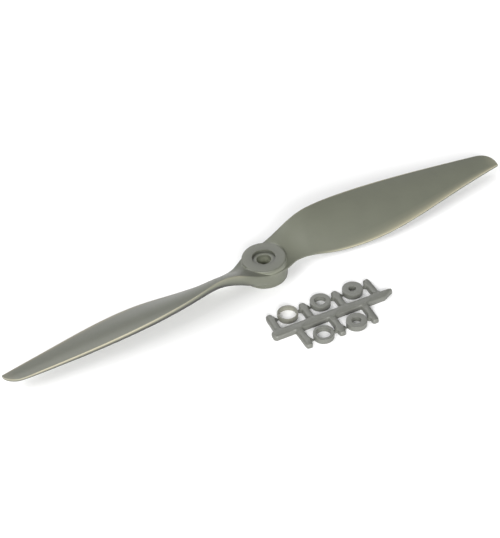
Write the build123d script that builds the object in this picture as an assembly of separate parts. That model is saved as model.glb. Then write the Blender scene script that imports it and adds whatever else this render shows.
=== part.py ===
"""Two-blade fixed-pitch propeller for electric model aircraft, with its moulded tree of adapter rings.

Units are millimetres. The origin is the centre of the shaft bore on the hub's rear face. +Z runs along
the shaft towards the front of the propeller, and +X runs along one blade. The propeller lies on its rear
face, front side up, and the ring tree lies beside it on the same flat surface.
"""
from build123d import *
from math import atan2, cos, sin
import os

# Propeller: hub
TIP_RADIUS = 127.0           # ten inches across the tips
HUB_RADIUS = 10.3            # lower part of the hub, which the blades grow out of
SHOULDER_HEIGHT = 7.4        # where the lower part ends and the front boss begins
BOSS_RADIUS = 9.95
HUB_THICKNESS = 9.8
BOSS_EDGE_ROUND = 0.45
SHAFT_RADIUS = 3.175         # quarter-inch shaft bore
RECESS_RADIUS = 5.1          # shallow recess round the bore in the front face
RECESS_DEPTH = 1.2
RECESS_EDGE_ROUND = 0.3
SEAT_RADIUS = 4.65           # counterbore in the rear face that takes one adapter ring
SEAT_DEPTH = 2.9

# Propeller: blade. Each row is one section square to the blade:
# distance from the shaft, leading edge (y, z), trailing edge (y, z), height of the flat land under the
# leading edge, depth from the leading edge to the rear surface, thickness of the trailing edge.
BLADE_SECTIONS = [
    (2.0, (10.1, 7.5), (-9.8, 6.3), 4.0, 5.6, 0.9),
    (6.0, (10.1, 8.8), (-8.9, 5.9), 4.1, 5.9, 0.85),
    (10.0, (10.1, 10.8), (-6.7, 5.3), 4.2, 6.2, 0.8),
    (14.0, (10.1, 13.2), (-4.9, 4.8), 4.2, 6.3, 0.7),
    (18.0, (10.2, 15.4), (-4.5, 4.5), 3.9, 6.3, 0.6),
    (22.0, (10.5, 16.9), (-4.9, 4.1), 3.2, 6.0, 0.5),
    (26.0, (10.9, 17.6), (-5.5, 3.4), 2.2, 5.4, 0.5),
    (30.0, (11.4, 17.6), (-6.3, 2.6), 1.45, 4.9, 0.5),
    (35.0, (12.1, 17.1), (-7.3, 2.1), 1.0, 4.45, 0.5),
    (40.0, (12.8, 16.4), (-8.1, 1.9), 0.8, 4.15, 0.5),
    (48.0, (13.4, 15.4), (-9.2, 2.0), 0.65, 3.85, 0.5),
    (60.0, (13.7, 14.0), (-9.9, 2.8), 0.6, 3.5, 0.55),
    (76.0, (13.2, 12.3), (-8.5, 3.8), 0.55, 3.05, 0.7),
    (92.0, (12.0, 10.7), (-5.7, 4.6), 0.5, 2.6, 0.9),
    (106.0, (10.6, 9.4), (-3.1, 5.0), 0.5, 2.1, 1.0),
    (116.0, (9.5, 8.5), (-1.4, 5.2), 0.5, 1.75, 1.0),
    (128.0, (8.1, 7.6), (0.5, 5.3), 0.5, 1.4, 1.0),
]
CROWN = 0.05                 # rise of the front surface above a straight line, as a part of the chord
CROWN_AT = 0.38              # where the crown is, from the leading edge
HOLLOW = 0.02                # rise of the rear surface above a straight line, as a part of the chord
NOSE_SLOPE = 0.32            # under the land the nose runs back by this part of its drop
NOSE_BULGE = 0.12            # and bows out by this part of its drop
TIP_LEADING_ARC = [(118.6, 10.6), (124.5, 6.9), (TIP_RADIUS, 1.3)]
TIP_TRAILING_ARC = [(TIP_RADIUS, 1.3), (126.8, 0.55), (126.2, -0.05)]

# Adapter rings: (node, bore in mm, place along the row, row), row 0 nearest the propeller
RING_RADIUS = 4.6
RING_HEIGHT = 2.6
RING_CHAMFER = 0.25
RING_PITCH = 15.8            # ring to ring along a row
ROW_GAP = 18.5               # row to row
LOWER_ROW_SHIFT = 8.1        # the second row stands about half a pitch along
RINGS = [
    ("adapter_ring_7_9mm", 7.94, 0, 0),
    ("adapter_ring_5_0mm", 5.0, 1, 0),
    ("adapter_ring_3_2mm", 3.18, 2, 0),
    ("adapter_ring_6_4mm", 6.35, 0, 1),
    ("adapter_ring_4_0mm", 4.0, 1, 1),
]

# Ring tree, in its own plan: u runs along the bar, v runs across it towards the propeller,
# and (0, 0) is the middle of the first ring
TREE_PLACE = (-5.5, -29.6)   # where the first ring lies beside the propeller
TREE_ANGLE = -4.3            # turn of the bar from the blade's line, in degrees
BAR_START = -11.6
BAR_END = 46.7
BAR_WIDTH = 4.3
BAR_HEIGHT = 2.8
BAR_START_ROUND = 1.8
BAR_POINT = (0.6, 1.2)       # the far end comes to a blunt point between these two places across the bar
BAR_POINT_LOWER = 5.2        # length of the long slant on the lower side
BAR_POINT_UPPER = 1.9        # and of the short one on the upper side
ARM_WIDTH = 3.3
ARM_HEIGHT = 2.4
ARM_TIP_WIDTH = 2.4          # the arm narrows from the ring's line to its rounded end
ARM_EDGE_CHAMFER = 0.6       # eased top edges
UPPER_ARM_REACH = 12.4       # from the bar's middle line to the arm's rounded end
LOWER_ARM_REACH = 12.9
LOWER_ARM_START = 0.0
DRAFT_ANGLE = 4              # the bar's sides lean in so that the tree leaves its mould
EAR_LENGTH = 1.1             # triangular ear from the arm's side towards a ring
EAR_WIDTH = 2.4
EAR_HEIGHT = 1.5
OVERLAP = 0.4                # how far ears and gates run into their neighbours, so that they fuse
GATE_WIDTH = 0.8             # thin gate from an ear's point to the ring's wall
GATE_HEIGHT = 0.9
GATE_GAP = 0.05              # the gates stop just short of the rings, which come off one by one


def section_points(lead, trail, land, depth, edge):
    """The corners of a blade section and the middles of its curves, as (y, z)."""
    slope = atan2(lead[1] - trail[1], lead[0] - trail[0])
    chord = ((lead[0] - trail[0]) ** 2 + (lead[1] - trail[1]) ** 2) ** 0.5
    rise = (-sin(slope), cos(slope))
    trail_top = (trail[0], trail[1] + edge / 2)
    trail_bottom = (trail[0], trail[1] - edge / 2)
    drop = depth - land
    land_foot = (lead[0], lead[1] - land)
    nose_bottom = (lead[0] - NOSE_SLOPE * drop, lead[1] - depth)
    nose_middle = (lead[0] - NOSE_SLOPE * drop / 2 + NOSE_BULGE * drop, (land_foot[1] + nose_bottom[1]) / 2)

    def between(start, end, share, above):
        return tuple(a + share * (b - a) + above * chord * up for a, b, up in zip(start, end, rise))

    crown = between(lead, trail_top, CROWN_AT, CROWN)
    hollow = between(nose_bottom, trail_bottom, 0.5, HOLLOW)
    return lead, crown, trail_top, trail_bottom, hollow, nose_bottom, nose_middle, land_foot


def blade_section(distance, *sizes):
    """One closed section of five edges: front surface, trailing edge, rear surface, nose and land."""
    ridge, crown, trail_top, trail_bottom, hollow, nose_bottom, nose_middle, land_foot = [
        Vector(distance, y, z) for y, z in section_points(*sizes)
    ]
    front = Spline(ridge, crown, trail_top)
    edge = Line(trail_top, trail_bottom)
    rear = Spline(trail_bottom, hollow, nose_bottom)
    nose = ThreePointArc(nose_bottom, nose_middle, land_foot)
    land = Line(land_foot, ridge)
    return Face(Wire([front, edge, rear, nose, land]))


def make_tip_cutter():
    """Everything outside the tip: a large arc at the leading edge, a small one at the trailing edge."""
    leading = ThreePointArc(*TIP_LEADING_ARC)
    trailing = ThreePointArc(*TIP_TRAILING_ARC)
    start = TIP_LEADING_ARC[0]
    end = TIP_TRAILING_ARC[-1]
    outside = TIP_RADIUS + HUB_RADIUS
    border = Polyline((end[0], end[1]), (outside, end[1]), (outside, start[1]), (start[0], start[1]))
    outline = Face(Wire([leading, trailing, *border.edges()]))
    return extrude(outline, amount=4 * HUB_THICKNESS)


def make_blade():
    sections = [blade_section(*row) for row in BLADE_SECTIONS]
    blade = loft(sections)
    return blade - make_tip_cutter()


def make_propeller():
    """Hub and both blades in one moulding, bored for the shaft."""
    upright = (Align.CENTER, Align.CENTER, Align.MIN)
    boss = Cylinder(BOSS_RADIUS, HUB_THICKNESS, align=upright)
    boss = fillet(boss.edges().group_by(Axis.Z)[-1], BOSS_EDGE_ROUND)
    body = Cylinder(HUB_RADIUS, SHOULDER_HEIGHT, align=upright)
    blade = make_blade()
    whole = boss + body + blade + blade.rotate(Axis.Z, 180)

    shaft = Cylinder(SHAFT_RADIUS, HUB_THICKNESS, align=upright)
    recess = Pos(0, 0, HUB_THICKNESS - RECESS_DEPTH) * Cylinder(RECESS_RADIUS, RECESS_DEPTH, align=upright)
    flare = Pos(0, 0, HUB_THICKNESS - RECESS_EDGE_ROUND) * Cone(
        RECESS_RADIUS, RECESS_RADIUS + RECESS_EDGE_ROUND, RECESS_EDGE_ROUND, align=upright
    )
    seat = Cylinder(SEAT_RADIUS, SEAT_DEPTH, align=upright)
    return whole - shaft - recess - flare - seat


def ring_place(column, row):
    """Middle of a ring in the tree's own plan."""
    return (column * RING_PITCH + row * LOWER_ROW_SHIFT, -row * ROW_GAP)


def on_table(shape):
    """Turn a shape from the tree's own plan to where the tree lies beside the propeller."""
    return Pos(*TREE_PLACE, 0) * Rot(0, 0, TREE_ANGLE) * shape


def make_ring(bore, column, row):
    u, v = ring_place(column, row)
    upright = (Align.CENTER, Align.CENTER, Align.MIN)
    ring = Cylinder(RING_RADIUS, RING_HEIGHT, align=upright)
    ring = chamfer(ring.edges().filter_by(GeomType.CIRCLE), RING_CHAMFER)
    ring = ring - Cylinder(bore / 2, RING_HEIGHT, align=upright)
    return on_table(Pos(u, v, 0) * ring)


def make_arm(u, side, reach):
    """One arm from the bar's middle line: straight to the rings' line, then narrower to a rounded end."""
    straight = ROW_GAP / 2
    tip_radius = ARM_TIP_WIDTH / 2
    tip_start = reach - tip_radius
    half = ARM_WIDTH / 2
    right_side = [(half, 0), (half, straight), (tip_radius, tip_start)]
    left_side = [(-x, y) for x, y in reversed(right_side)]
    end = ThreePointArc(right_side[-1], (0, reach), left_side[0])
    outline = Face(Wire([*Polyline(*right_side).edges(), end, *Polyline(*left_side).edges(),
                         Line(left_side[-1], right_side[0])]))
    arm = extrude(outline, amount=ARM_HEIGHT)
    arm = chamfer(arm.faces().sort_by(Axis.Z)[-1].edges(), ARM_EDGE_CHAMFER)
    turn = 0 if side > 0 else 180
    return Pos(u, -ROW_GAP / 2) * Rot(0, 0, turn) * arm


def make_ear(arm_u, way, v):
    """Triangular ear on one side of an arm, and where its point is."""
    root = arm_u + way * (ARM_WIDTH / 2 - OVERLAP)
    point = arm_u + way * (ARM_WIDTH / 2 + EAR_LENGTH)
    corners = [(root, v - EAR_WIDTH / 2), (point, v), (root, v + EAR_WIDTH / 2)]
    outline = make_face(Polyline(*corners, close=True))
    return extrude(outline, amount=EAR_HEIGHT, dir=(0, 0, 1)), point


def make_ring_tree():
    """Bar, arms, ears and gates in one moulding."""
    bar_line = -ROW_GAP / 2
    half = BAR_WIDTH / 2
    outline = [(BAR_START, -half), (BAR_END - BAR_POINT_LOWER, -half), (BAR_END, BAR_POINT[0]),
               (BAR_END, BAR_POINT[1]), (BAR_END - BAR_POINT_UPPER, half), (BAR_START, half)]
    bar_outline = make_face(Polyline(*outline, close=True))
    bar_outline = fillet(bar_outline.vertices().group_by(Axis.X)[0], BAR_START_ROUND)
    tree = extrude(Pos(0, bar_line) * bar_outline, amount=BAR_HEIGHT, taper=DRAFT_ANGLE)

    upper_arms = [(i - 0.5) * RING_PITCH for i in range(4)]
    lower_arms = [LOWER_ARM_START + i * RING_PITCH for i in range(3)]
    for u in upper_arms:
        tree += make_arm(u, 1, UPPER_ARM_REACH)
    for u in lower_arms:
        tree += make_arm(u, -1, LOWER_ARM_REACH)

    upright = (Align.CENTER, Align.CENTER, Align.MIN)
    rows = [upper_arms, lower_arms]
    for _, _, column, row in RINGS:
        ring_u, v = ring_place(column, row)
        for arm_u in rows[row][column:column + 2]:
            way = 1 if ring_u > arm_u else -1
            ear, point = make_ear(arm_u, way, v)
            wall = ring_u - way * RING_RADIUS
            start = point - way * EAR_LENGTH / 2
            length = abs(wall - start) + OVERLAP
            gate = Pos((start + wall) / 2, v) * Box(length, GATE_WIDTH, GATE_HEIGHT, align=upright)
            clear = Pos(ring_u, v) * Cylinder(RING_RADIUS + GATE_GAP, 2 * RING_HEIGHT, align=upright)
            tree += ear + (gate - clear)
    return on_table(tree)


def main():
    os.makedirs("parts", exist_ok=True)
    export_step(make_propeller(), "parts/propeller.step")
    export_step(make_ring_tree(), "parts/ring_tree.step")
    for node, bore, column, row in RINGS:
        export_step(make_ring(bore, column, row), f"parts/{node}.step")


main()
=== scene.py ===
"""Two-blade propeller for electric model aircraft and its tree of adapter rings, in moulded nylon.

Sizes in the tables below are millimetres, as on a drawing. Everything that is built is in metres, in the
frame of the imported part: the origin at the shaft on the hub's rear face, +Z towards the front of the
propeller, +X along one blade.
"""
from math import atan2, cos, pi, radians, sin, sqrt

import bmesh
import bpy
from mathutils import Matrix, Vector


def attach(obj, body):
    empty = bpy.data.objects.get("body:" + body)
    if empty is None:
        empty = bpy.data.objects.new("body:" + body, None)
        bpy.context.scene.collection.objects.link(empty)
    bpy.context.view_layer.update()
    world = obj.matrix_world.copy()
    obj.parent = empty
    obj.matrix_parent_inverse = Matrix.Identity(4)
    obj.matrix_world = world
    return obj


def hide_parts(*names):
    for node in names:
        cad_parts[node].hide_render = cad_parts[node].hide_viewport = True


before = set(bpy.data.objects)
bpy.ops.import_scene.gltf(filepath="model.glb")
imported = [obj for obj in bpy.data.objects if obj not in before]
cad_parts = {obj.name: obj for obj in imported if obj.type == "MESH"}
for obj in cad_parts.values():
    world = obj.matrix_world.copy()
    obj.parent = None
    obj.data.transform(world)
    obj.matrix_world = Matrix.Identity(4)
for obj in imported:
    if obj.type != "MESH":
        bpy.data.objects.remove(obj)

bl_info = {
    "name": "Model propeller and adapter rings",
    "version": (1, 0, 0),
    "blender": (4, 5, 0),
    "location": "View3D > Sidebar > Propeller",
    "description": "Builds a moulded two-blade propeller, its adapter ring tree and a plain stage",
    "category": "Object",
}

MM = 0.001

# Blade sections square to the blade, in millimetres: distance from the shaft, leading edge (y, z),
# trailing edge (y, z), height of the flat land under the leading edge, depth from the leading edge to the
# rear surface, thickness of the trailing edge.
BLADE_SECTIONS = [
    (2.0, (10.1, 7.5), (-9.8, 6.3), 4.0, 5.6, 0.9),
    (6.0, (10.1, 8.8), (-8.9, 5.9), 4.1, 5.9, 0.85),
    (10.0, (10.1, 10.8), (-6.7, 5.3), 4.2, 6.2, 0.8),
    (14.0, (10.1, 13.2), (-4.9, 4.8), 4.2, 6.3, 0.7),
    (18.0, (10.2, 15.4), (-4.5, 4.5), 3.9, 6.3, 0.6),
    (22.0, (10.5, 16.9), (-4.9, 4.1), 3.2, 6.0, 0.5),
    (26.0, (10.9, 17.6), (-5.5, 3.4), 2.2, 5.4, 0.5),
    (30.0, (11.4, 17.6), (-6.3, 2.6), 1.45, 4.9, 0.5),
    (35.0, (12.1, 17.1), (-7.3, 2.1), 1.0, 4.45, 0.5),
    (40.0, (12.8, 16.4), (-8.1, 1.9), 0.8, 4.15, 0.5),
    (48.0, (13.4, 15.4), (-9.2, 2.0), 0.65, 3.85, 0.5),
    (60.0, (13.7, 14.0), (-9.9, 2.8), 0.6, 3.5, 0.55),
    (76.0, (13.2, 12.3), (-8.5, 3.8), 0.55, 3.05, 0.7),
    (92.0, (12.0, 10.7), (-5.7, 4.6), 0.5, 2.6, 0.9),
    (106.0, (10.6, 9.4), (-3.1, 5.0), 0.5, 2.1, 1.0),
    (116.0, (9.5, 8.5), (-1.4, 5.2), 0.5, 1.75, 1.0),
    (128.0, (8.1, 7.6), (0.5, 5.3), 0.5, 1.4, 1.0),
]
TIP_RADIUS = 127.0
TIP_LEADING_START = 120.0     # the leading edge starts to curve back here
TIP_LEADING_DROP = 7.0        # and has come this far back at the tip
TIP_TRAILING_START = 126.4    # the trailing edge turns its small corner from here
TIP_TRAILING_RISE = 0.2
CROWN = 0.05                  # rise of the front surface, as a part of the chord
CROWN_SKEW = 1.63             # puts the crown at 38% of the chord
CROWN_SCALE = 0.1743          # what the crown's curve comes to at its highest, before scaling
HOLLOW = 0.02                 # rise of the rear surface, as a part of the chord
NOSE_SLOPE = 0.32             # under the land the nose runs back by this part of its drop
NOSE_BULGE = 0.12             # and bows out by this part of its drop
LAND_LEAN = 0.03              # the land's foot stands out this far, in millimetres
TRAILING_BOW = 0.06           # and the trailing edge's face this far
LAND_LIMIT = 0.45             # the land takes no more than this part of the leading edge's depth
# Distances from the shaft of the loops that the blade is extruded through, closer where it turns more
LOOP_PLACES = [12.0, 13.6, 15.4, 17.4, 19.6, 22.0, 24.4, 27.0, 30.0, 33.5, 37.5, 42.0, 47.5, 54.0,
               61.0, 69.0, 77.0, 85.0, 93.0, 100.5, 107.0, 112.5, 116.5, 119.5, 121.7, 123.4, 124.7,
               125.7, 126.4, 126.85, 127.0]
ROOT_LOOPS = 3                # loops between the hub's round wall and the first of these
# Where the blade's lengthwise edges run, as parts of the chord, once clear of the root
COLUMN_SHARES = [0.0, 0.022, 0.07, 0.15, 0.25, 0.36, 0.47, 0.58, 0.69, 0.79, 0.88, 0.965, 1.0]
COLUMNS_FROM = 12.0           # between these distances they move there from the hub's spokes
COLUMNS_TO = 34.0

# Hub, in millimetres
HUB_RADIUS = 10.3
HUB_THICKNESS = 9.8
BOSS_RADIUS = 9.95            # the boss stands on the hub's front
SHOULDER = 7.4                # height of the boss's foot, before the wall is fitted to the blades
SHAFT_RADIUS = 3.175
RECESS_RADIUS = 5.1           # the recess lies round the shaft hole, in the front
RECESS_DEPTH = 1.2
SEAT_RADIUS = 4.65            # an adapter ring goes into the seat, in the rear
SEAT_DEPTH = 2.9
WALL_EASE = 4                 # the higher, the sooner the wall is back at the height of the next nose
# Width of the hub's rounded rims, and how sharp its other edges stay
RIM_WIDTHS = {"seat mouth": 0.2, "rear rim": 0.35, "boss edge": 0.38, "recess mouth": 0.22,
              "recess foot": 0.12, "bore mouth": 0.2, "bore end": 0.15, "seat ceiling": 0.2}
RIM_CREASES = {"shoulder": 0.7, "boss foot": 0.55}
# Painted shade and painted light at the hub's edges: how much darker or lighter the plastic is drawn than
# the rest
HUB_PAINTED_SHADE_AND_LIGHT = {"shoulder": 0.15, "boss foot": 0.45, "boss edge": -0.12, "recess mouth": -0.3,
             "recess foot": -0.5, "bore end": 3.0}
SPOKES = 32                   # edges round the hub
BLADE_SPOKES = 12             # of which one blade takes this many
FIRST_SPOKE = 78.75           # where a blade's nose leaves the hub, in degrees
# How sharp the blade's lengthwise edges stay, by corner of its loop
BLADE_CREASES = {
    0: 0.85,                          # leading edge
    BLADE_SPOKES: 0.8,                # trailing edge, front
    BLADE_SPOKES + 3: 0.6,            # trailing edge, rear
    2 * BLADE_SPOKES + 3: 0.35,       # lowest line of the nose
    2 * BLADE_SPOKES + 5: 0.5,        # foot of the land
}
# Painted light far out, by corner of its loop, as a part of the most: painted highlights on the edges and
# painted light through the thin plastic
BLADE_LIGHTS = {
    2 * BLADE_SPOKES + 5: 0.45,       # foot of the land
    BLADE_SPOKES - 1: 0.4,            # the two lines on the front next to the trailing edge
    BLADE_SPOKES - 2: 0.1,
}
LEADING_LIGHT = 0.25          # the same along the leading edge near the root
LEADING_LIGHT_GAIN = 0.75     # and what it gains further out
LEADING_LIGHT_LOSS = 0.6      # of which this part is lost again near the tip
TIP_LIGHT = 0.2
NOSE_PAINTED_SHADE = -0.95             # painted shade: how much darker the nose is drawn near the root
NOSE_PAINTED_SHADE_GAIN = 0.4          # and by how much less towards the tip
NOSE_MIDDLE_SHARE = 0.4       # the part of it that the middle of the nose already has at the root

# Rings and tree, in millimetres. The plan (u, v) is the tree's own: u along the bar, v across it.
RING_RADIUS = 4.6
RING_HEIGHT = 2.6
RING_SEGMENTS = 32
RING_PITCH = 15.8             # from one ring of a row to the next
ROW_GAP = 18.5                # from the upper row of rings to the lower one
LOWER_ROW_SHIFT = 8.1
RING_NEARNESS = 0.6           # a ring hangs on the arms that are nearer than this part of the pitch
# Node, diameter of the bore, column and row
RINGS = [
    ("adapter_ring_7_9mm", 7.94, 0, 0),
    ("adapter_ring_5_0mm", 5.0, 1, 0),
    ("adapter_ring_3_2mm", 3.18, 2, 0),
    ("adapter_ring_6_4mm", 6.35, 0, 1),
    ("adapter_ring_4_0mm", 4.0, 1, 1),
]
TREE_PLACE = (-5.5, -29.6)    # of the plan's origin, the first ring of the upper row, in the frame
TREE_ANGLE = -4.3             # and the bar's direction, in degrees
BAR_START = -11.6
BAR_END = 46.7
BAR_WIDTH = 4.3
BAR_HEIGHT = 2.8
BAR_BLUNTNESS = 0.55          # width of the bar's blunt end, as a part of the bar's width
BAR_POINT = (0.6, 1.2)        # lower and upper side of the pointed end, from the bar's middle line
BAR_POINT_LOWER = 5.2         # length over which the lower side runs in to the point
BAR_POINT_UPPER = 1.9         # and the upper side
BAR_POINT_ROUND = 0.4
ARM_WIDTH = 3.3
ARM_HEIGHT = 2.4
ARM_COUNTS = (4, 3)           # above the bar and below it
UPPER_ARM_REACH = 12.4        # from the bar's middle line to an arm's end
LOWER_ARM_REACH = 12.85
ROOT_WIDENING = 0.15          # an arm is this much wider to each side where it leaves the bar
ROOT_LENGTH = 0.9
# Rounded end of an arm: distance from its end, width and height as parts of the arm's
ARM_END = [(0.9, 0.92, 0.97), (0.25, 0.74, 0.9), (0.0, 0.45, 0.85)]
EAR_LENGTH = 1.1              # an ear stands out of the arm's side and carries the gate
EAR_WIDTH = 2.4
EAR_RISE = 0.3                # it is this much taller than its gate
GATE_WIDTH = 0.8
GATE_HEIGHT = 0.9
GATE_GAP = 0.05               # between a gate's end and its ring
TOP_INSET = 0.3               # the flat top is drawn in this far
SIDE_SHARE = 0.66             # and the sides stand to this part of the height before they slope in to it
TREE_EDGE = 0.12              # width of the tree's rounded edges
SHARP_ANGLE = 20              # edges sharper than this are rounded, in degrees
RING_EDGE = 0.16              # width of a ring's rounded edges
RING_EDGE_SHARE = 0.25        # and never more than this part of its wall
TOUCH = 1e-3                  # corners closer than this are at the same place, in millimetres
THIN_WALL = 1.0               # a ring's wall under this gets painted light, as if light came through it
THIN_WALL_LIGHT = 0.14
HOLE_PAINTED_LIGHT = 0.7               # painted light: how much lighter the plastic is drawn at the foot of a ring's hole

# Studio lights: name, place in metres, width in metres, power in watts; and the light from all around
LIGHTS = [
    ("front softbox", (-0.48, -1.33, 0.51), 1.0, 40),
    ("left softbox", (-1.15, 0.0, 0.96), 1.0, 13),
    ("back softbox", (0.22, 1.1, 0.98), 1.0, 10.5),
]
WORLD_LIGHT = 0.28
FLOOR_HALF = 4                # metres from the middle of the floor to its edge
PAPER_TONE = 0.96

# Camera: place in metres, which way its right and up point, focal length in millimetres
CAMERA_PLACE = (-0.2428, -0.4783, 0.4850)
CAMERA_RIGHT = (0.8699, -0.4895, -0.0610)
CAMERA_UP = (0.3677, 0.5611, 0.7416)
CAMERA_LENS = 108.35

# Skin of the moulded nylon
CLOUD_SIZE = 9.0              # millimetres from one cloudy patch to the next
GRAIN_SIZE = 0.7              # millimetres: the mould's texture, as coarse as it needs to show
GRAIN_DEPTH = 0.05
GRAIN_STRENGTH = 0.12
GLOSS_SPREAD = 0.06           # roughness varies by this much to each side
NYLON_IOR = 1.53


# Shared helpers

def linear(hex_colour):
    """An sRGB hex colour as linear red, green, blue and alpha."""
    values = [int(hex_colour[i:i + 2], 16) / 255 for i in (1, 3, 5)]
    return tuple(v / 12.92 if v <= 0.04045 else ((v + 0.055) / 1.055) ** 2.4 for v in values) + (1.0,)


def add_node(tree, kind, settings=None, **inputs):
    """Adds one shader node with its settings, and its inputs as values or (node, socket) links.

    An input goes by its name, with _ for a space, or by its number, as in i6.
    """
    node = tree.nodes.new(kind)
    for name, value in (settings or {}).items():
        setattr(node, name, value)
    for name, value in inputs.items():
        key = int(name[1:]) if name[0] == "i" and name[1:].isdigit() else name.replace("_", " ")
        if isinstance(value, tuple) and isinstance(value[0], bpy.types.Node):
            tree.links.new(value[0].outputs[value[1]], node.inputs[key])
        else:
            node.inputs[key].default_value = value
    return node


def new_material(name):
    material = bpy.data.materials.new(name)
    material.use_nodes = True
    material.node_tree.nodes.clear()
    return material


def add_piece(name, bm, material, levels, flat_faces=False):
    """Makes an object from a bmesh, normals outward, subdivided when it is shown.

    All of it is shaded smooth, unless it has flat faces of its own.
    """
    bmesh.ops.recalc_face_normals(bm, faces=bm.faces)
    if not flat_faces:
        for face in bm.faces:
            face.smooth = True
    mesh = bpy.data.meshes.new(name)
    bm.to_mesh(mesh)
    bm.free()
    piece = bpy.data.objects.new(name, mesh)
    bpy.context.scene.collection.objects.link(piece)
    mesh.materials.append(material)
    if levels:
        surface = piece.modifiers.new("smooth surface", "SUBSURF")
        surface.levels = levels
        surface.render_levels = levels
    return piece


def stand_for(piece, node):
    """The piece rides with its CAD node's body and stands for that node, which is hidden."""
    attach(piece, node)
    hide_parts(node)


def round_edges(bm, edges, width, segments=2):
    """Rounds edges over by a width, and marks the new faces smooth."""
    made = bmesh.ops.bevel(bm, geom=edges, offset=width, offset_type="OFFSET", segments=segments,
                           profile=0.5, affect="EDGES", material=-1)
    for face in made["faces"]:
        face.smooth = True


def hold_radius(radius, step):
    """A little over the radius, because a subdivided ring draws in by this much."""
    return radius / (2 / 3 + cos(step) / 3)


# Propeller

def ramp(x, start, end):
    """Rises smoothly from 0 at start to 1 at end."""
    t = min(max((x - start) / (end - start), 0.0), 1.0)
    return t * t * (3 - 2 * t)


def curve_through(places, values, x):
    """Value at x of a smooth curve through the given points."""
    k = 0
    while k < len(places) - 2 and x > places[k + 1]:
        k += 1

    def slope(i):
        low = max(i - 1, 0)
        high = min(i + 1, len(places) - 1)
        return (values[high] - values[low]) / (places[high] - places[low])

    width = places[k + 1] - places[k]
    t = (x - places[k]) / width
    return ((2 * t ** 3 - 3 * t ** 2 + 1) * values[k] + (t ** 3 - 2 * t ** 2 + t) * width * slope(k)
            + (3 * t ** 2 - 2 * t ** 3) * values[k + 1] + (t ** 3 - t ** 2) * width * slope(k + 1))


def quarter_drop(x, start, drop):
    """How far an edge has curved away at x, on a quarter ellipse from start to the tip."""
    t = min(max((x - start) / (TIP_RADIUS - start), 0.0), 1.0)
    return drop * (1 - sqrt(1 - t * t))


class Section:
    """The blade's section at one distance from the shaft, as points (y, z)."""

    def __init__(self, x):
        places = [row[0] for row in BLADE_SECTIONS]

        def at(pick):
            return curve_through(places, [pick(row) for row in BLADE_SECTIONS], x)

        self.lead = Vector((at(lambda row: row[1][0]), at(lambda row: row[1][1])))
        self.trail = Vector((at(lambda row: row[2][0]), at(lambda row: row[2][1])))
        self.land = at(lambda row: row[3])
        self.depth = at(lambda row: row[4])
        self.edge = at(lambda row: row[5])
        line = self.lead - self.trail
        self.chord = line.length
        self.rise = Vector((-line.y, line.x)) / self.chord
        self.first = quarter_drop(x, TIP_LEADING_START, TIP_LEADING_DROP) / self.chord
        self.last = 1 - quarter_drop(x, TIP_TRAILING_START, TIP_TRAILING_RISE) / self.chord

    def front(self, share):
        """Front surface: share runs from the leading to the trailing edge that the tip leaves."""
        u = self.first + share * (self.last - self.first)
        crown = CROWN * self.chord * u * (1 - u) ** CROWN_SKEW / CROWN_SCALE
        return self.lead.lerp(self.trail + Vector((0, self.edge / 2)), u) + crown * self.rise

    def rear(self, share):
        """Rear surface, from the foot of the nose to the trailing edge, by the same share."""
        u = self.first + share * (self.last - self.first)
        drop = self.depth - self.land
        start = self.lead + Vector((-NOSE_SLOPE * drop, -self.depth))
        hollow = HOLLOW * self.chord * 4 * u * (1 - u)
        return start.lerp(self.trail - Vector((0, self.edge / 2)), u) + hollow * self.rise

    def land_foot(self):
        """Foot of the flat land that stands under the leading edge."""
        top = self.front(0)
        height = min(self.land, LAND_LIMIT * (top - self.rear(0)).length)
        return top + Vector((LAND_LEAN, -height))

    def nose(self):
        """Half-way down the sloping part of the nose."""
        foot = self.land_foot()
        bottom = self.rear(0)
        return (foot + bottom) / 2 + Vector((NOSE_BULGE * (foot - bottom).length, 0))

    def trailing(self, down):
        """A point on the trailing edge's face, this share of its height down."""
        return self.front(1).lerp(self.rear(1), down) - Vector((TRAILING_BOW, 0))


def spoke_angle(i):
    """Angle of spoke i, counted from the first blade's nose towards its trailing edge."""
    return radians(FIRST_SPOKE - i * 360 / SPOKES)


def chord_share(i, x):
    """The share of the chord where lengthwise edge i runs.

    It starts from the hub's spoke i, and has moved to the blade's column i once clear of the root.
    """
    first = sin(spoke_angle(0))
    last = sin(spoke_angle(BLADE_SPOKES))
    spoke = (first - sin(spoke_angle(i))) / (first - last)
    return spoke + (COLUMN_SHARES[i] - spoke) * ramp(x, COLUMNS_FROM, COLUMNS_TO)


def loop_point(k, x):
    """Place in millimetres of corner k of the blade's loop at x from the shaft.

    With n spokes to a blade, the loop runs from the leading edge, 0, over the front to the trailing edge,
    n, down its face to n + 3, back over the rear to 2n + 3 and up the nose and the land.
    """
    section = Section(x)
    n = BLADE_SPOKES
    if k <= n:
        flat = section.front(chord_share(k, x))
    elif k <= n + 2:
        flat = section.trailing((k - n) / 3)
    elif k <= 2 * n + 3:
        flat = section.rear(chord_share(2 * n + 3 - k, x))
    elif k == 2 * n + 4:
        flat = section.nose()
    else:
        flat = section.land_foot()
    return Vector((x, flat[0], flat[1]))


def edge_light(k, x):
    """Painted highlights and painted light through the plastic at corner k: most at the thin edges and
    the tip.

    The ramps run between distances from the shaft in millimetres, as they do in painted_nose_shade.
    """
    n = BLADE_SPOKES
    if n < k <= 2 * n + 3:
        return 0.0
    outward = ramp(x, 26, 76)
    if k == 0:
        light = LEADING_LIGHT * ramp(x, 12, 18) + LEADING_LIGHT_GAIN * outward
        light *= 1 - LEADING_LIGHT_LOSS * ramp(x, 112, 122)
    elif k == n:
        light = ramp(x, 20, 40)
    else:
        light = BLADE_LIGHTS.get(k, 0.0) * outward
    return max(light, TIP_LIGHT * ramp(x, 121, TIP_RADIUS))


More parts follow.
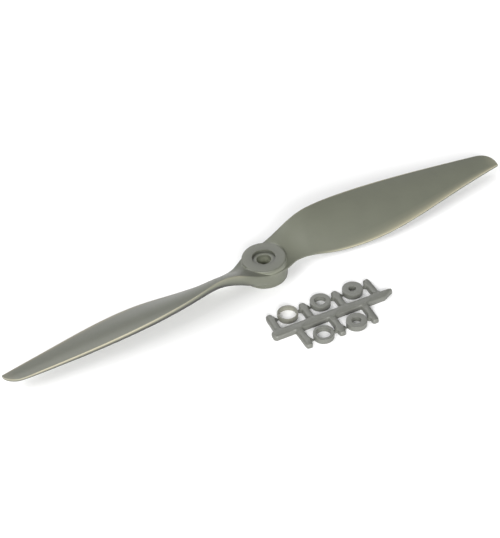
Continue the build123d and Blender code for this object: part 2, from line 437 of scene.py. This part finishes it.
def painted_nose_shade(k, x):
    """Painted shade at corner k: how much darker the plastic is drawn on the nose, which turns down and
    under.
    """
    dark = NOSE_PAINTED_SHADE_GAIN * ramp(x, 60, 125) + NOSE_PAINTED_SHADE
    if k == 2 * BLADE_SPOKES + 3:
        return dark * ramp(x, 9, 12)
    if k == 2 * BLADE_SPOKES + 4:
        near = NOSE_MIDDLE_SHARE * ramp(x, 11, 15)
        return dark * (near + (1 - NOSE_MIDDLE_SHARE) * ramp(x, 19, 27))
    return 0.0


def corner_spoke(k):
    """The spoke that corner k of the blade's loop starts from."""
    n = BLADE_SPOKES
    if k <= n:
        return k
    if k <= n + 2:
        return n
    if k <= 2 * n + 3:
        return 2 * n + 3 - k
    return 0


def make_hub(shaft_radius, recess_depth):
    """Hub without its blades, and all its corners by (level, spoke)."""
    step = radians(360 / SPOKES)
    recess_floor = HUB_THICKNESS - recess_depth
    profile = {
        "seat mouth": (SEAT_RADIUS, 0), "rear rim": (HUB_RADIUS, 0),
        # shape_wall moves the next four up or down to meet the blades
        "rear": (HUB_RADIUS, 3.5), "front": (HUB_RADIUS, 5.0), "land": (HUB_RADIUS, 6.9),
        "shoulder": (HUB_RADIUS, SHOULDER),
        "boss foot": (BOSS_RADIUS, SHOULDER), "boss edge": (BOSS_RADIUS, HUB_THICKNESS),
        "recess mouth": (RECESS_RADIUS, HUB_THICKNESS), "recess foot": (RECESS_RADIUS, recess_floor),
        "bore mouth": (shaft_radius, recess_floor), "bore end": (shaft_radius, SEAT_DEPTH),
        "seat ceiling": (SEAT_RADIUS, SEAT_DEPTH),
    }
    bm = bmesh.new()
    bm.verts.layers.float.new("edge_light")
    tone = bm.verts.layers.float.new("tone")
    bm.edges.layers.float.new("crease_edge")
    start = Matrix.Rotation(spoke_angle(0), 3, "Z")
    chain = [bm.verts.new(start @ Vector((hold_radius(r, step), 0, z))) for r, z in profile.values()]
    edges = [bm.edges.new((a, b)) for a, b in zip(chain, chain[1:] + chain[:1])]
    bmesh.ops.spin(bm, geom=chain + edges, cent=(0, 0, 0), axis=(0, 0, 1), angle=2 * pi,
                   steps=SPOKES, use_merge=True)
    corners = {}
    for vert in bm.verts:
        radius = vert.co.xy.length
        spoke = round((spoke_angle(0) - atan2(vert.co.y, vert.co.x)) / step) % SPOKES
        for level, (r, z) in profile.items():
            if abs(radius - hold_radius(r, step)) < TOUCH and abs(vert.co.z - z) < TOUCH:
                corners[level, spoke] = vert
                # painted shade and painted light at the hub's rims, recess and bore
                vert[tone] = HUB_PAINTED_SHADE_AND_LIGHT.get(level, 0.0)
    return bm, corners


def shape_wall(corners):
    """Sets the heights of the hub's wall, so that it meets both blades.

    Between the blades it rises from one blade's trailing edge to the other's nose.
    """
    n = BLADE_SPOKES
    half = SPOKES // 2
    nose_corner = {"shoulder": 0, "land": 2 * n + 5, "front": 2 * n + 4, "rear": 2 * n + 3}
    trail_corner = {"shoulder": n, "land": n + 1, "front": n + 2, "rear": n + 3}
    for i in range(half):
        heights = {}
        wall_x = HUB_RADIUS * cos(spoke_angle(i))
        if 0 < i < n:
            top = loop_point(i, wall_x).z
            bottom = loop_point(2 * n + 3 - i, wall_x).z
            heights = {"shoulder": top, "land": (2 * top + bottom) / 3, "front": (top + 2 * bottom) / 3,
                       "rear": bottom}
        else:
            share = 1 if i == 0 else 1 - (1 - (i - n) / (half - n)) ** WALL_EASE
            for level in nose_corner:
                nose = loop_point(nose_corner[level], HUB_RADIUS * cos(spoke_angle(0))).z
                trail = loop_point(trail_corner[level], HUB_RADIUS * cos(spoke_angle(n))).z
                heights[level] = trail + (nose - trail) * share
        heights["boss foot"] = heights["shoulder"]
        for level, z in heights.items():
            for spoke in (i, i + half):
                corners[level, spoke].co.z = z


def grow_blade(bm, corners, first_spoke, turn):
    """Opens the hub's wall over one blade's spokes and extrudes the blade from it, loop by loop."""
    n = BLADE_SPOKES
    light = bm.verts.layers.float["edge_light"]
    tone = bm.verts.layers.float["tone"]
    crease = bm.edges.layers.float["crease_edge"]
    levels = ["shoulder", "land", "front", "rear"]
    spokes = [(first_spoke + i) % SPOKES for i in range(n + 1)]
    wall = [corners[level, spoke] for level in levels for spoke in spokes]
    inside = set(wall)
    faces = [face for face in bm.faces if all(vert in inside for vert in face.verts)]
    bmesh.ops.delete(bm, geom=faces, context="FACES")

    loop = [corners["shoulder", spoke] for spoke in spokes]
    loop += [corners["land", spokes[-1]], corners["front", spokes[-1]]]
    loop += [corners["rear", spoke] for spoke in reversed(spokes)]
    loop += [corners["front", spokes[0]], corners["land", spokes[0]]]

    first = LOOP_PLACES[0]
    shares = [(j + 1) / (ROOT_LOOPS + 1) for j in range(ROOT_LOOPS)]
    stations = [("root", share) for share in shares] + [("flat", x) for x in LOOP_PLACES]
    for kind, value in stations:
        edges = [bm.edges.get((a, b)) for a, b in zip(loop, loop[1:] + loop[:1])]
        made = bmesh.ops.extrude_edge_only(bm, edges=edges)
        fresh = {item for item in made["geom"] if isinstance(item, bmesh.types.BMVert)}
        for k, old in enumerate(loop):
            edge = next(e for e in old.link_edges if e.other_vert(old) in fresh)
            edge[crease] = BLADE_CREASES.get(k, 0.0)
            vert = edge.other_vert(old)
            wall_x = HUB_RADIUS * cos(spoke_angle(corner_spoke(k)))
            x = wall_x + (first - wall_x) * value if kind == "root" else value
            vert.co = turn @ loop_point(k, x)
            # painted edge light: painted highlights and painted light through thin plastic
            vert[light] = edge_light(k, x)
            # painted shade on the nose, which turns down and under
            vert[tone] = painted_nose_shade(k, x)
            loop[k] = vert
    close_tip(bm, loop)


def close_tip(bm, loop):
    """Closes the last loop with a strip of faces between its front and rear rows."""
    n = BLADE_SPOKES
    front = [bm.edges.get((loop[i], loop[i + 1])) for i in range(n)]
    rear = [bm.edges.get((loop[n + 3 + i], loop[n + 4 + i])) for i in range(n)]
    bmesh.ops.bridge_loops(bm, edges=front + rear)
    bm.faces.new([loop[n], loop[n + 1], loop[n + 2], loop[n + 3]])
    bm.faces.new([loop[2 * n + 3], loop[2 * n + 4], loop[2 * n + 5], loop[0]])


def build_propeller(shaft_radius, recess_depth):
    """The whole moulding: a spun hub with two blades grown from its wall, its rims eased."""
    bm, corners = make_hub(shaft_radius, recess_depth)
    shape_wall(corners)
    rings = {level: [corners[level, s] for s in range(SPOKES)] for level in RIM_WIDTHS}
    grow_blade(bm, corners, 0, Matrix.Identity(3))
    grow_blade(bm, corners, SPOKES // 2, Matrix.Rotation(pi, 3, "Z"))
    crease = bm.edges.layers.float["crease_edge"]
    for level, sharpness in RIM_CREASES.items():
        for s in range(SPOKES):
            edge = bm.edges.get((corners[level, s], corners[level, (s + 1) % SPOKES]))
            edge[crease] = sharpness
    for level, width in RIM_WIDTHS.items():
        ring = rings[level]
        edges = [bm.edges.get((a, b)) for a, b in zip(ring, ring[1:] + ring[:1])]
        round_edges(bm, edges, width)
    bmesh.ops.scale(bm, vec=(MM, MM, MM), verts=bm.verts)
    return bm


# Rings and their tree

def ring_place(column, row):
    """Middle of a ring in the tree's plan."""
    return Vector((column * RING_PITCH + row * LOWER_ROW_SHIFT, -row * ROW_GAP, 0))


def lay_on_table(bm):
    """Moves a shape from the tree's own plan, in millimetres, to its place in the frame."""
    turn = Matrix.Rotation(radians(TREE_ANGLE), 3, "Z")
    bmesh.ops.rotate(bm, cent=(0, 0, 0), matrix=turn, verts=bm.verts)
    bmesh.ops.translate(bm, vec=(*TREE_PLACE, 0), verts=bm.verts)
    bmesh.ops.scale(bm, vec=(MM, MM, MM), verts=bm.verts)


def build_ring(bore, outside, height, place):
    """One ring, spun from its section, with its rims eased."""
    step = 2 * pi / RING_SEGMENTS
    bm = bmesh.new()
    inner = hold_radius(bore / 2, step)
    outer = hold_radius(outside / 2, step)
    corners = [(inner, 0), (outer, 0), (outer, height), (inner, height)]
    chain = [bm.verts.new((r, 0, z)) for r, z in corners]
    edges = [bm.edges.new((a, b)) for a, b in zip(chain, chain[1:] + chain[:1])]
    bmesh.ops.spin(bm, geom=chain + edges, cent=(0, 0, 0), axis=(0, 0, 1), angle=2 * pi,
                   steps=RING_SEGMENTS, use_merge=True)
    wall = outer - inner
    light = bm.verts.layers.float.new("edge_light")
    tone = bm.verts.layers.float.new("tone")
    for vert in bm.verts:
        inside = vert.co.xy.length < inner + wall / 2
        # painted light through a thin wall, and painted light at the foot of the hole
        vert[light] = THIN_WALL_LIGHT if wall < THIN_WALL else 0.0
        vert[tone] = HOLE_PAINTED_LIGHT if inside and vert.co.z < height / 2 else 0.0
    rims = [e for e in bm.edges if abs(e.verts[0].co.z - e.verts[1].co.z) < TOUCH
            and abs(e.verts[0].co.xy.length - e.verts[1].co.xy.length) < TOUCH]
    round_edges(bm, rims, min(RING_EDGE, RING_EDGE_SHARE * wall))
    bmesh.ops.translate(bm, vec=place, verts=bm.verts)
    lay_on_table(bm)
    return bm


def pull(bm, edges, offset, height, tall, scale=1.0):
    """Extrudes plan edges by an offset and scales them about their middle.

    Their height is noted, for when the plan is raised.
    """
    made = bmesh.ops.extrude_edge_only(bm, edges=edges)
    verts = [item for item in made["geom"] if isinstance(item, bmesh.types.BMVert)]
    fresh = [item for item in made["geom"] if isinstance(item, bmesh.types.BMEdge)
             and all(v in verts for v in item.verts)]
    bmesh.ops.translate(bm, vec=offset, verts=verts)
    middle = sum((v.co for v in verts), Vector()) / len(verts)
    for vert in verts:
        vert.co = middle + (vert.co - middle) * scale
        vert[tall] = height
    return fresh


def plan_bar(bm, tall, arms, bar_height):
    """The bar as a row of quads, with a break on each side of every arm."""
    line = -ROW_GAP / 2
    root = ARM_WIDTH / 2 + ROOT_WIDENING
    breaks = sorted([u - root for u, _ in arms] + [u + root for u, _ in arms])
    start = [bm.verts.new((BAR_START, line + s * BAR_WIDTH / 2 * BAR_BLUNTNESS, 0)) for s in (1, -1)]
    for vert in start:
        vert[tall] = bar_height
    edges = [bm.edges.new(start)]
    places = [BAR_START + ROOT_LENGTH, *breaks, BAR_END - BAR_POINT_LOWER, BAR_END - BAR_POINT_UPPER,
              BAR_END - BAR_POINT_ROUND, BAR_END]
    here = BAR_START
    half = BAR_WIDTH / 2
    for place in places:
        edges = pull(bm, edges, (place - here, 0, 0), bar_height, tall)
        lower = -half + (BAR_POINT[0] + half) * max(1 - (BAR_END - place) / BAR_POINT_LOWER, 0)
        upper = half + (BAR_POINT[1] - half) * max(1 - (BAR_END - place) / BAR_POINT_UPPER, 0)
        low, high = sorted(edges[0].verts, key=lambda vert: vert.co.y)
        low.co.y = line + lower
        high.co.y = line + upper
        here = place


def side_edges(bm, u, v, half):
    """Plan edges that lie along the line at v, between u - half and u + half."""
    return [e for e in bm.edges
            if all(abs(x.co.y - v) < TOUCH and abs(x.co.x - u) < half + TOUCH for x in e.verts)]


def plan_arm(bm, tall, u, side):
    """One arm out of the bar's side, with a break at each side of its ears."""
    line = -ROW_GAP / 2
    reach = UPPER_ARM_REACH if side > 0 else LOWER_ARM_REACH
    edges = side_edges(bm, u, line + side * BAR_WIDTH / 2, ARM_WIDTH / 2 + ROOT_WIDENING)
    ring_line = ROW_GAP / 2
    straight = [BAR_WIDTH / 2 + ROOT_LENGTH, ring_line - EAR_WIDTH / 2, ring_line,
                ring_line + EAR_WIDTH / 2]
    stops = [(place, ARM_WIDTH, ARM_HEIGHT) for place in straight]
    stops += [(reach - back, ARM_WIDTH * wide, ARM_HEIGHT * high) for back, wide, high in ARM_END]
    here = BAR_WIDTH / 2
    for place, width, height in stops:
        edges = pull(bm, edges, (0, side * (place - here), 0), height, tall)
        for edge in edges:
            for vert in edge.verts:
                vert.co.x = u + (width / 2 if vert.co.x > u else -width / 2)
        here = place


def plan_gates(bm, tall, u, side):
    """Ears and gates from an arm to the rings on its two sides."""
    v = 0 if side > 0 else -ROW_GAP
    for _, _, column, row in RINGS:
        centre = ring_place(column, row)
        if abs(centre.y - v) > TOUCH or abs(centre.x - u) > RING_PITCH * RING_NEARNESS:
            continue
        way = 1 if centre.x > u else -1
        flank = [e for e in bm.edges if all(
            abs(abs(x.co.x - u) - ARM_WIDTH / 2) < ROOT_WIDENING and (x.co.x - u) * way > 0
            and abs(x.co.y - v) < EAR_WIDTH / 2 + TOUCH for x in e.verts)]
        arm_side = u + way * ARM_WIDTH / 2
        wall = centre.x - way * (RING_RADIUS + GATE_GAP)
        ear = pull(bm, flank, (way * EAR_LENGTH, 0, 0), GATE_HEIGHT + EAR_RISE, tall,
                   GATE_WIDTH / EAR_WIDTH)
        level_ends(ear, arm_side + way * EAR_LENGTH)
        gate = pull(bm, ear, (wall - arm_side - way * EAR_LENGTH, 0, 0), GATE_HEIGHT, tall)
        level_ends(gate, wall)


def level_ends(edges, u):
    """Puts the corners of plan edges on the line at u."""
    for edge in edges:
        for vert in edge.verts:
            vert.co.x = u


def build_tree(bar_height):
    """The tree's plan drawn face by face, raised to its heights, with drafted sides and eased edges."""
    bm = bmesh.new()
    tall = bm.verts.layers.float.new("tall")
    arms = [((i - 0.5) * RING_PITCH, 1) for i in range(ARM_COUNTS[0])]
    arms += [(i * RING_PITCH, -1) for i in range(ARM_COUNTS[1])]
    plan_bar(bm, tall, arms, bar_height)
    for u, side in arms:
        plan_arm(bm, tall, u, side)
    for u, side in arms:
        plan_gates(bm, tall, u, side)
    floor = list(bm.faces)
    raised = bmesh.ops.extrude_face_region(bm, geom=floor, use_keep_orig=True)
    tops = [item for item in raised["geom"] if isinstance(item, bmesh.types.BMFace)]
    for vert in {v for face in tops for v in face.verts}:
        vert.co.z = vert[tall]
    bmesh.ops.recalc_face_normals(bm, faces=bm.faces)
    bmesh.ops.inset_region(bm, faces=tops, thickness=TOP_INSET, depth=0, use_even_offset=True)
    inner = {v for face in tops for v in face.verts}
    for vert in bm.verts:
        if vert.co.z > TOUCH and vert not in inner:
            vert.co.z = SIDE_SHARE * vert[tall]
    sharp = [e for e in bm.edges if e.is_manifold and e.calc_face_angle(0) > radians(SHARP_ANGLE)]
    round_edges(bm, sharp, TREE_EDGE)
    lay_on_table(bm)
    return bm


# Finishes

def moulded_nylon(name, base, thin, roughness):
    """Glass-filled nylon, injection moulded.

    It gives the eye a satin, slightly cloudy skin with the fine grain of the mould. Painted highlights
    along the edges and painted light through thin plastic make it warmer and lighter, by the piece's own
    edge attribute. Its "tone" is painted shade and painted light: darker or lighter where light is held
    back or gathers.
    """
    material = new_material(name)
    tree = material.node_tree
    place = add_node(tree, "ShaderNodeTexCoord")
    cloud = add_node(tree, "ShaderNodeTexNoise", Vector=(place, "Object"),
                     Scale=1 / (CLOUD_SIZE * MM), Detail=3.0, Roughness=0.55)
    grain = add_node(tree, "ShaderNodeTexNoise", Vector=(place, "Object"),
                     Scale=1 / (GRAIN_SIZE * MM), Detail=2.0, Roughness=0.6)
    # the edge attribute holds painted highlights and painted light through thin plastic
    edges = add_node(tree, "ShaderNodeAttribute", {"attribute_name": "edge_light"})
    tone = add_node(tree, "ShaderNodeAttribute", {"attribute_name": "tone"})
    shade = add_node(tree, "ShaderNodeMix", {"data_type": "RGBA"}, Factor=(cloud, "Fac"),
                     i6=linear(base[0]), i7=linear(base[1]))
    # mixes in the colour of the painted highlights and painted light at the edges
    painted_glow_mix = add_node(tree, "ShaderNodeMix", {"data_type": "RGBA"}, Factor=(edges, "Fac"),
                    i6=(shade, 2), i7=linear(thin))
    # brightens or darkens the colour by the painted shade and painted light in tone
    brightness = add_node(tree, "ShaderNodeMath", {"operation": "ADD"}, i0=(tone, "Fac"), i1=1.0)
    colour = add_node(tree, "ShaderNodeHueSaturation", Color=(painted_glow_mix, 2), Value=(brightness, "Value"))
    gloss = add_node(tree, "ShaderNodeMapRange", Value=(grain, "Fac"),
                     To_Min=roughness - GLOSS_SPREAD, To_Max=roughness + GLOSS_SPREAD)
    relief = add_node(tree, "ShaderNodeBump", Height=(grain, "Fac"), Strength=GRAIN_STRENGTH,
                      Distance=GRAIN_DEPTH * MM)
    skin = add_node(tree, "ShaderNodeBsdfPrincipled", Base_Color=(colour, "Color"),
                    Roughness=(gloss, "Result"), IOR=NYLON_IOR, Normal=(relief, "Normal"))
    add_node(tree, "ShaderNodeOutputMaterial", Surface=(skin, "BSDF"))
    return material


def white_paper():
    """Matt white paper. It gives the eye a pale, even ground with soft shadows and hardly any shine."""
    material = new_material("white paper")
    tree = material.node_tree
    paper = add_node(tree, "ShaderNodeBsdfPrincipled", Roughness=0.9, Specular_IOR_Level=0.1,
                     Base_Color=(PAPER_TONE, PAPER_TONE, PAPER_TONE, 1))
    add_node(tree, "ShaderNodeOutputMaterial", Surface=(paper, "BSDF"))
    return material


# Add-on

def colour_property(name, description, default):
    return bpy.props.StringProperty(name=name, description=description + ", as sRGB hex", default=default)


def length_property(name, description, millimetres):
    return bpy.props.FloatProperty(name=name, description=description, default=millimetres * MM, min=0.0,
                                   unit="LENGTH", subtype="DISTANCE", precision=5)


class PropellerFinish(bpy.types.PropertyGroup):
    """Colours and gloss of the moulded parts."""
    blade_dark: colour_property("Blade, darker", "Darker tone of the propeller", "#57594e")
    blade_light: colour_property("Blade, lighter", "Lighter tone of the propeller", "#5e6054")
    # colour of the painted highlights and painted light through thin edges
    painted_glow_colour: colour_property("Thin edge", "Tone where the plastic is thin", "#a09b85")
    tree_dark: colour_property("Tree, darker", "Darker tone of the rings and their tree", "#5a5b55")
    tree_light: colour_property("Tree, lighter", "Lighter tone of the rings and their tree", "#60615b")
    roughness: bpy.props.FloatProperty(name="Roughness", description="Roughness of the moulded skin",
                                       default=0.42, min=0.0, max=1.0, subtype="FACTOR")


class PropellerSizes(bpy.types.PropertyGroup):
    """Sizes that differ from one propeller of this kind to the next."""
    shaft_hole: length_property("Shaft hole", "Diameter of the hole through the hub", 2 * SHAFT_RADIUS)
    recess_depth: length_property("Recess depth", "Depth of the recess round the shaft hole",
                                  RECESS_DEPTH)
    ring_outside: length_property("Ring diameter", "Outside diameter of the adapter rings",
                                  2 * RING_RADIUS)
    ring_height: length_property("Ring height", "Height of the adapter rings", RING_HEIGHT)
    bar_height: length_property("Bar height", "Height of the bar between the arms", BAR_HEIGHT)


class OBJECT_OT_propeller(bpy.types.Operator):
    """Builds the propeller in one piece, hub and two blades"""
    bl_idname = "object.build_propeller"
    bl_label = "Build propeller"

    def execute(self, context):
        finish = context.scene.propeller_finish
        sizes = context.scene.propeller_sizes
        # The propeller's is the darker moulding, with painted highlights and painted light along its thin
        # edges, and painted shade and light on its noses and hub
        nylon = moulded_nylon("glass-filled nylon, propeller", (finish.blade_dark, finish.blade_light),
                              finish.painted_glow_colour, finish.roughness)
        propeller = build_propeller(sizes.shaft_hole / 2 / MM, sizes.recess_depth / MM)
        piece = add_piece("propeller_moulding", propeller, nylon, 2)
        stand_for(piece, "propeller")
        return {"FINISHED"}


class OBJECT_OT_ring_tree(bpy.types.Operator):
    """Builds the bar, arms and gates that the adapter rings are moulded on"""
    bl_idname = "object.build_ring_tree"
    bl_label = "Build ring tree"

    def execute(self, context):
        finish = context.scene.propeller_finish
        # A shade lighter and greyer than the propeller's, and even, with no painted edge light or painted
        # shade on the tree
        nylon = moulded_nylon("glass-filled nylon, tree", (finish.tree_dark, finish.tree_light),
                              finish.painted_glow_colour, finish.roughness)
        tree = build_tree(context.scene.propeller_sizes.bar_height / MM)
        piece = add_piece("ring_tree_moulding", tree, nylon, 1, flat_faces=True)
        stand_for(piece, "ring_tree")
        return {"FINISHED"}


class OBJECT_OT_adapter_rings(bpy.types.Operator):
    """Builds the five adapter rings, one for each shaft size"""
    bl_idname = "object.build_adapter_rings"
    bl_label = "Build adapter rings"

    def execute(self, context):
        finish = context.scene.propeller_finish
        sizes = context.scene.propeller_sizes
        # As the tree's, with painted light where a wide bore leaves the wall thin, and painted light at
        # the foot of each hole
        nylon = moulded_nylon("glass-filled nylon, rings", (finish.tree_dark, finish.tree_light),
                              finish.painted_glow_colour, finish.roughness)
        for node, bore, column, row in RINGS:
            place = ring_place(column, row)
            ring = build_ring(bore, sizes.ring_outside / MM, sizes.ring_height / MM, place)
            piece = add_piece(node + "_moulding", ring, nylon, 2)
            stand_for(piece, node)
        return {"FINISHED"}


class SCENE_OT_stage(bpy.types.Operator):
    """Builds the pale floor, the soft lights and the camera"""
    bl_idname = "scene.build_stage"
    bl_label = "Build stage"

    def execute(self, context):
        scene = context.scene
        bm = bmesh.new()
        bmesh.ops.create_grid(bm, x_segments=1, y_segments=1, size=FLOOR_HALF)
        floor = add_piece("floor", bm, white_paper(), 0)

        world = bpy.data.worlds.new("studio")
        scene.world = world
        world.use_nodes = True
        world.node_tree.nodes["Background"].inputs["Color"].default_value = (1, 1, 1, 1)
        world.node_tree.nodes["Background"].inputs["Strength"].default_value = WORLD_LIGHT
        for light in LIGHTS:
            add_light(*light)
        add_camera()
        scene.view_settings.view_transform = "Standard"
        return {"FINISHED"}


def add_light(name, place, size, power):
    """A square softbox that faces the hub."""
    data = bpy.data.lights.new(name, "AREA")
    data.size = size
    data.energy = power
    light = bpy.data.objects.new(name, data)
    light.location = place
    light.rotation_mode = "QUATERNION"
    light.rotation_quaternion = (-Vector(place)).to_track_quat("-Z", "Y")
    bpy.context.scene.collection.objects.link(light)


def add_camera():
    """Looks down at the hub from the front left, with a long lens."""
    data = bpy.data.cameras.new("camera")
    data.lens = CAMERA_LENS
    data.sensor_width = 36.0
    data.clip_start = 0.05
    data.clip_end = 20
    camera = bpy.data.objects.new("camera", data)
    right = Vector(CAMERA_RIGHT).normalized()
    up = Vector(CAMERA_UP).normalized()
    back = right.cross(up)
    turn = Matrix((right, up, back)).transposed()
    camera.matrix_world = Matrix.Translation(CAMERA_PLACE) @ turn.to_4x4()
    bpy.context.scene.collection.objects.link(camera)
    bpy.context.scene.camera = camera


class VIEW3D_PT_propeller(bpy.types.Panel):
    """Sidebar panel with the finishes and the build buttons"""
    bl_label = "Model propeller"
    bl_idname = "VIEW3D_PT_propeller"
    bl_space_type = "VIEW_3D"
    bl_region_type = "UI"
    bl_category = "Propeller"

    def draw(self, context):
        for group in (context.scene.propeller_sizes, context.scene.propeller_finish):
            for name in group.__annotations__:
                self.layout.prop(group, name)
        for operator in OPERATORS:
            self.layout.operator(operator.bl_idname)


OPERATORS = [OBJECT_OT_propeller, OBJECT_OT_ring_tree, OBJECT_OT_adapter_rings, SCENE_OT_stage]
CLASSES = [PropellerFinish, PropellerSizes, *OPERATORS, VIEW3D_PT_propeller]


def register():
    for item in CLASSES:
        bpy.utils.register_class(item)
    bpy.types.Scene.propeller_finish = bpy.props.PointerProperty(type=PropellerFinish)
    bpy.types.Scene.propeller_sizes = bpy.props.PointerProperty(type=PropellerSizes)


def unregister():
    del bpy.types.Scene.propeller_sizes
    del bpy.types.Scene.propeller_finish
    for item in reversed(CLASSES):
        bpy.utils.unregister_class(item)


def main():
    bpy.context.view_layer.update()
    register()
    bpy.ops.object.build_propeller()
    bpy.ops.object.build_ring_tree()
    bpy.ops.object.build_adapter_rings()
    bpy.ops.scene.build_stage()


if __name__ == "__main__":
    main()
